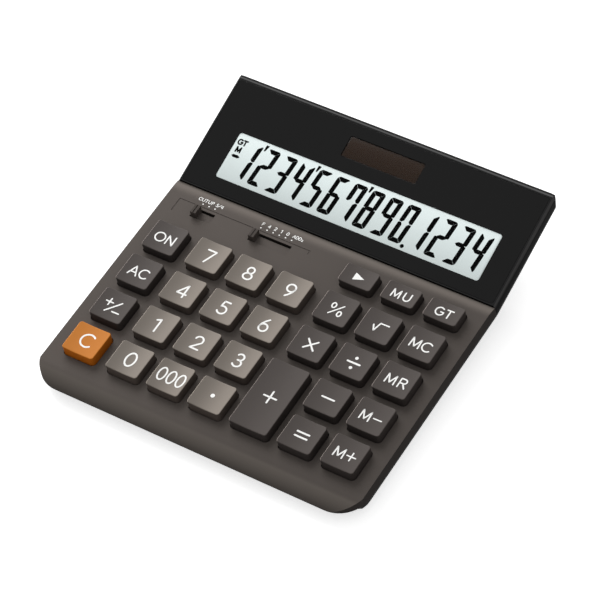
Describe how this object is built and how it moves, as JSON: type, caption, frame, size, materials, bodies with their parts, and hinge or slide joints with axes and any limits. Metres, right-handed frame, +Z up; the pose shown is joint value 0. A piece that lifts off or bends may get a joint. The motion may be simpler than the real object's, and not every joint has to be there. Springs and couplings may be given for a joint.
{
  "type": "desk calculator",
  "caption": "Desk calculator: wedge-shaped case with a sloping keyboard, two slide switches, a tilted number display and a solar window.",
  "frame": {"origin": "on the table, under the middle of the case's footprint", "axes": "+X to the right and +Y to the rear for someone at the keys, +Z up"},
  "size_m": [0.151, 0.1606, 0.0286],
  "materials": {
    "number_key_plastic": "satin",
    "function_key_plastic": "satin",
    "orange_key_plastic": "satin",
    "deck_plastic": "fine satin moulding",
    "base_plastic": "fine texture",
    "bezel_plastic": "polished edge",
    "panel_plastic": "glossy printed sheet",
    "clear_window": "clear, polished",
    "tinted_window": "tinted, polished",
    "lcd_glass": "smooth, grey-green",
    "reflector_film": "diffuse film",
    "inner_plastic": "plain moulding",
    "screw_steel": "zinc plated",
    "ribbon_film": "polyimide film",
    "solar_cell": "dark brown amorphous cell",
    "lead_insulation": "smooth",
    "board": "solder-resist lacquer",
    "chip_resin": "moulded drop",
    "capacitor_can": "sleeved can",
    "mat_rubber": "silicone sheet",
    "slider_plastic": "satin",
    "contact_metal": "stamped sheet",
    "cell_steel": "bright can",
    "foot_rubber": "matt"
  },
  "bodies": {
    "case": {"upper_case": "deck_plastic", "lower_case": "base_plastic", "display_bezel": "bezel_plastic", "display_panel": "panel_plastic", "lcd_window": "clear_window", "solar_window": "tinted_window", "lcd_glass": "lcd_glass", "lcd_reflector": "reflector_film", "lcd_holder": "inner_plastic", "holder_screws": "screw_steel", "lcd_ribbon": "ribbon_film", "solar_cell": "solar_cell", "solar_leads": "lead_insulation", "main_board": "board", "chip": "chip_resin", "capacitors": "capacitor_can", "key_mat": "mat_rubber", "board_screws": "screw_steel", "battery": "cell_steel", "battery_contact_plus": "contact_metal", "battery_contact_minus": "contact_metal", "battery_cover": "base_plastic", "battery_screw": "screw_steel", "case_screws": "screw_steel", "rubber_feet": "foot_rubber"},
    "key_0_cap": {"key_0": "number_key_plastic"},
    "key_000_cap": {"key_000": "number_key_plastic"},
    "key_point_cap": {"key_point": "number_key_plastic"},
    "key_1_cap": {"key_1": "number_key_plastic"},
    "key_2_cap": {"key_2": "number_key_plastic"},
    "key_3_cap": {"key_3": "number_key_plastic"},
    "key_4_cap": {"key_4": "number_key_plastic"},
    "key_5_cap": {"key_5": "number_key_plastic"},
    "key_6_cap": {"key_6": "number_key_plastic"},
    "key_7_cap": {"key_7": "number_key_plastic"},
    "key_8_cap": {"key_8": "number_key_plastic"},
    "key_9_cap": {"key_9": "number_key_plastic"},
    "key_sign_cap": {"key_sign": "function_key_plastic"},
    "key_ac_cap": {"key_ac": "function_key_plastic"},
    "key_on_cap": {"key_on": "function_key_plastic"},
    "key_plus_cap": {"key_plus": "function_key_plastic"},
    "key_times_cap": {"key_times": "function_key_plastic"},
    "key_percent_cap": {"key_percent": "function_key_plastic"},
    "key_equals_cap": {"key_equals": "function_key_plastic"},
    "key_minus_cap": {"key_minus": "function_key_plastic"},
    "key_divide_cap": {"key_divide": "function_key_plastic"},
    "key_root_cap": {"key_root": "function_key_plastic"},
    "key_m_plus_cap": {"key_m_plus": "function_key_plastic"},
    "key_m_minus_cap": {"key_m_minus": "function_key_plastic"},
    "key_mr_cap": {"key_mr": "function_key_plastic"},
    "key_mc_cap": {"key_mc": "function_key_plastic"},
    "key_shift_cap": {"key_shift": "function_key_plastic"},
    "key_mu_cap": {"key_mu": "function_key_plastic"},
    "key_gt_cap": {"key_gt": "function_key_plastic"},
    "key_c_cap": {"key_c": "orange_key_plastic"},
    "rounding_switch": {"rounding_slider": "slider_plastic", "rounding_wiper": "contact_metal"},
    "decimal_switch": {"decimal_slider": "slider_plastic", "decimal_wiper": "contact_metal"}
  },
  "joints": [
    {"name": "press_0", "type": "slide", "parent": "case", "child": "key_0_cap", "axis": [0, -0.0436, 0.999], "range_m": [-0.0015, 0], "stiffness_N_per_m": 400, "springref_m": 0.0004, "deforming": ["key_mat"]},
    {"name": "press_000", "type": "slide", "parent": "case", "child": "key_000_cap", "axis": [0, -0.0436, 0.999], "range_m": [-0.0015, 0], "stiffness_N_per_m": 400, "springref_m": 0.0004, "deforming": ["key_mat"]},
    {"name": "press_point", "type": "slide", "parent": "case", "child": "key_point_cap", "axis": [0, -0.0436, 0.999], "range_m": [-0.0015, 0], "stiffness_N_per_m": 400, "springref_m": 0.0004, "deforming": ["key_mat"]},
    {"name": "press_1", "type": "slide", "parent": "case", "child": "key_1_cap", "axis": [0, -0.0436, 0.999], "range_m": [-0.0015, 0], "stiffness_N_per_m": 400, "springref_m": 0.0004, "deforming": ["key_mat"]},
    {"name": "press_2", "type": "slide", "parent": "case", "child": "key_2_cap", "axis": [0, -0.0436, 0.999], "range_m": [-0.0015, 0], "stiffness_N_per_m": 400, "springref_m": 0.0004, "deforming": ["key_mat"]},
    {"name": "press_3", "type": "slide", "parent": "case", "child": "key_3_cap", "axis": [0, -0.0436, 0.999], "range_m": [-0.0015, 0], "stiffness_N_per_m": 400, "springref_m": 0.0004, "deforming": ["key_mat"]},
    {"name": "press_4", "type": "slide", "parent": "case", "child": "key_4_cap", "axis": [0, -0.0436, 0.999], "range_m": [-0.0015, 0], "stiffness_N_per_m": 400, "springref_m": 0.0004, "deforming": ["key_mat"]},
    {"name": "press_5", "type": "slide", "parent": "case", "child": "key_5_cap", "axis": [0, -0.0436, 0.999], "range_m": [-0.0015, 0], "stiffness_N_per_m": 400, "springref_m": 0.0004, "deforming": ["key_mat"]},
    {"name": "press_6", "type": "slide", "parent": "case", "child": "key_6_cap", "axis": [0, -0.0436, 0.999], "range_m": [-0.0015, 0], "stiffness_N_per_m": 400, "springref_m": 0.0004, "deforming": ["key_mat"]},
    {"name": "press_7", "type": "slide", "parent": "case", "child": "key_7_cap", "axis": [0, -0.0436, 0.999], "range_m": [-0.0015, 0], "stiffness_N_per_m": 400, "springref_m": 0.0004, "deforming": ["key_mat"]},
    {"name": "press_8", "type": "slide", "parent": "case", "child": "key_8_cap", "axis": [0, -0.0436, 0.999], "range_m": [-0.0015, 0], "stiffness_N_per_m": 400, "springref_m": 0.0004, "deforming": ["key_mat"]},
    {"name": "press_9", "type": "slide", "parent": "case", "child": "key_9_cap", "axis": [0, -0.0436, 0.999], "range_m": [-0.0015, 0], "stiffness_N_per_m": 400, "springref_m": 0.0004, "deforming": ["key_mat"]},
    {"name": "press_sign", "type": "slide", "parent": "case", "child": "key_sign_cap", "axis": [0, -0.0436, 0.999], "range_m": [-0.0015, 0], "stiffness_N_per_m": 400, "springref_m": 0.0004, "deforming": ["key_mat"]},
    {"name": "press_ac", "type": "slide", "parent": "case", "child": "key_ac_cap", "axis": [0, -0.0436, 0.999], "range_m": [-0.0015, 0], "stiffness_N_per_m": 400, "springref_m": 0.0004, "deforming": ["key_mat"]},
    {"name": "press_on", "type": "slide", "parent": "case", "child": "key_on_cap", "axis": [0, -0.0436, 0.999], "range_m": [-0.0015, 0], "stiffness_N_per_m": 400, "springref_m": 0.0004, "deforming": ["key_mat"]},
    {"name": "press_plus", "type": "slide", "parent": "case", "child": "key_plus_cap", "axis": [0, -0.0436, 0.999], "range_m": [-0.0015, 0], "stiffness_N_per_m": 400, "springref_m": 0.0004, "deforming": ["key_mat"]},
    {"name": "press_times", "type": "slide", "parent": "case", "child": "key_times_cap", "axis": [0, -0.0436, 0.999], "range_m": [-0.0015, 0], "stiffness_N_per_m": 400, "springref_m": 0.0004, "deforming": ["key_mat"]},
    {"name": "press_percent", "type": "slide", "parent": "case", "child": "key_percent_cap", "axis": [0, -0.0436, 0.999], "range_m": [-0.0015, 0], "stiffness_N_per_m": 400, "springref_m": 0.0004, "deforming": ["key_mat"]},
    {"name": "press_equals", "type": "slide", "parent": "case", "child": "key_equals_cap", "axis": [0, -0.0436, 0.999], "range_m": [-0.0015, 0], "stiffness_N_per_m": 400, "springref_m": 0.0004, "deforming": ["key_mat"]},
    {"name": "press_minus", "type": "slide", "parent": "case", "child": "key_minus_cap", "axis": [0, -0.0436, 0.999], "range_m": [-0.0015, 0], "stiffness_N_per_m": 400, "springref_m": 0.0004, "deforming": ["key_mat"]},
    {"name": "press_divide", "type": "slide", "parent": "case", "child": "key_divide_cap", "axis": [0, -0.0436, 0.999], "range_m": [-0.0015, 0], "stiffness_N_per_m": 400, "springref_m": 0.0004, "deforming": ["key_mat"]},
    {"name": "press_root", "type": "slide", "parent": "case", "child": "key_root_cap", "axis": [0, -0.0436, 0.999], "range_m": [-0.0015, 0], "stiffness_N_per_m": 400, "springref_m": 0.0004, "deforming": ["key_mat"]},
    {"name": "press_m_plus", "type": "slide", "parent": "case", "child": "key_m_plus_cap", "axis": [0, -0.0436, 0.999], "range_m": [-0.0015, 0], "stiffness_N_per_m": 400, "springref_m": 0.0004, "deforming": ["key_mat"]},
    {"name": "press_m_minus", "type": "slide", "parent": "case", "child": "key_m_minus_cap", "axis": [0, -0.0436, 0.999], "range_m": [-0.0015, 0], "stiffness_N_per_m": 400, "springref_m": 0.0004, "deforming": ["key_mat"]},
    {"name": "press_mr", "type": "slide", "parent": "case", "child": "key_mr_cap", "axis": [0, -0.0436, 0.999], "range_m": [-0.0015, 0], "stiffness_N_per_m": 400, "springref_m": 0.0004, "deforming": ["key_mat"]},
    {"name": "press_mc", "type": "slide", "parent": "case", "child": "key_mc_cap", "axis": [0, -0.0436, 0.999], "range_m": [-0.0015, 0], "stiffness_N_per_m": 400, "springref_m": 0.0004, "deforming": ["key_mat"]},
    {"name": "press_shift", "type": "slide", "parent": "case", "child": "key_shift_cap", "axis": [0, -0.0436, 0.999], "range_m": [-0.0015, 0], "stiffness_N_per_m": 400, "springref_m": 0.0004, "deforming": ["key_mat"]},
    {"name": "press_mu", "type": "slide", "parent": "case", "child": "key_mu_cap", "axis": [0, -0.0436, 0.999], "range_m": [-0.0015, 0], "stiffness_N_per_m": 400, "springref_m": 0.0004, "deforming": ["key_mat"]},
    {"name": "press_gt", "type": "slide", "parent": "case", "child": "key_gt_cap", "axis": [0, -0.0436, 0.999], "range_m": [-0.0015, 0], "stiffness_N_per_m": 400, "springref_m": 0.0004, "deforming": ["key_mat"]},
    {"name": "press_c", "type": "slide", "parent": "case", "child": "key_c_cap", "axis": [0, -0.0436, 0.999], "range_m": [-0.0015, 0], "stiffness_N_per_m": 400, "springref_m": 0.0004, "deforming": ["key_mat"]},
    {"name": "rounding_slide", "type": "slide", "parent": "case", "child": "rounding_switch", "axis": [1, 0, 0], "range_m": [0, 0.0059]},
    {"name": "decimal_slide", "type": "slide", "parent": "case", "child": "decimal_switch", "axis": [1, 0, 0], "range_m": [0, 0.01475]}
  ]
}
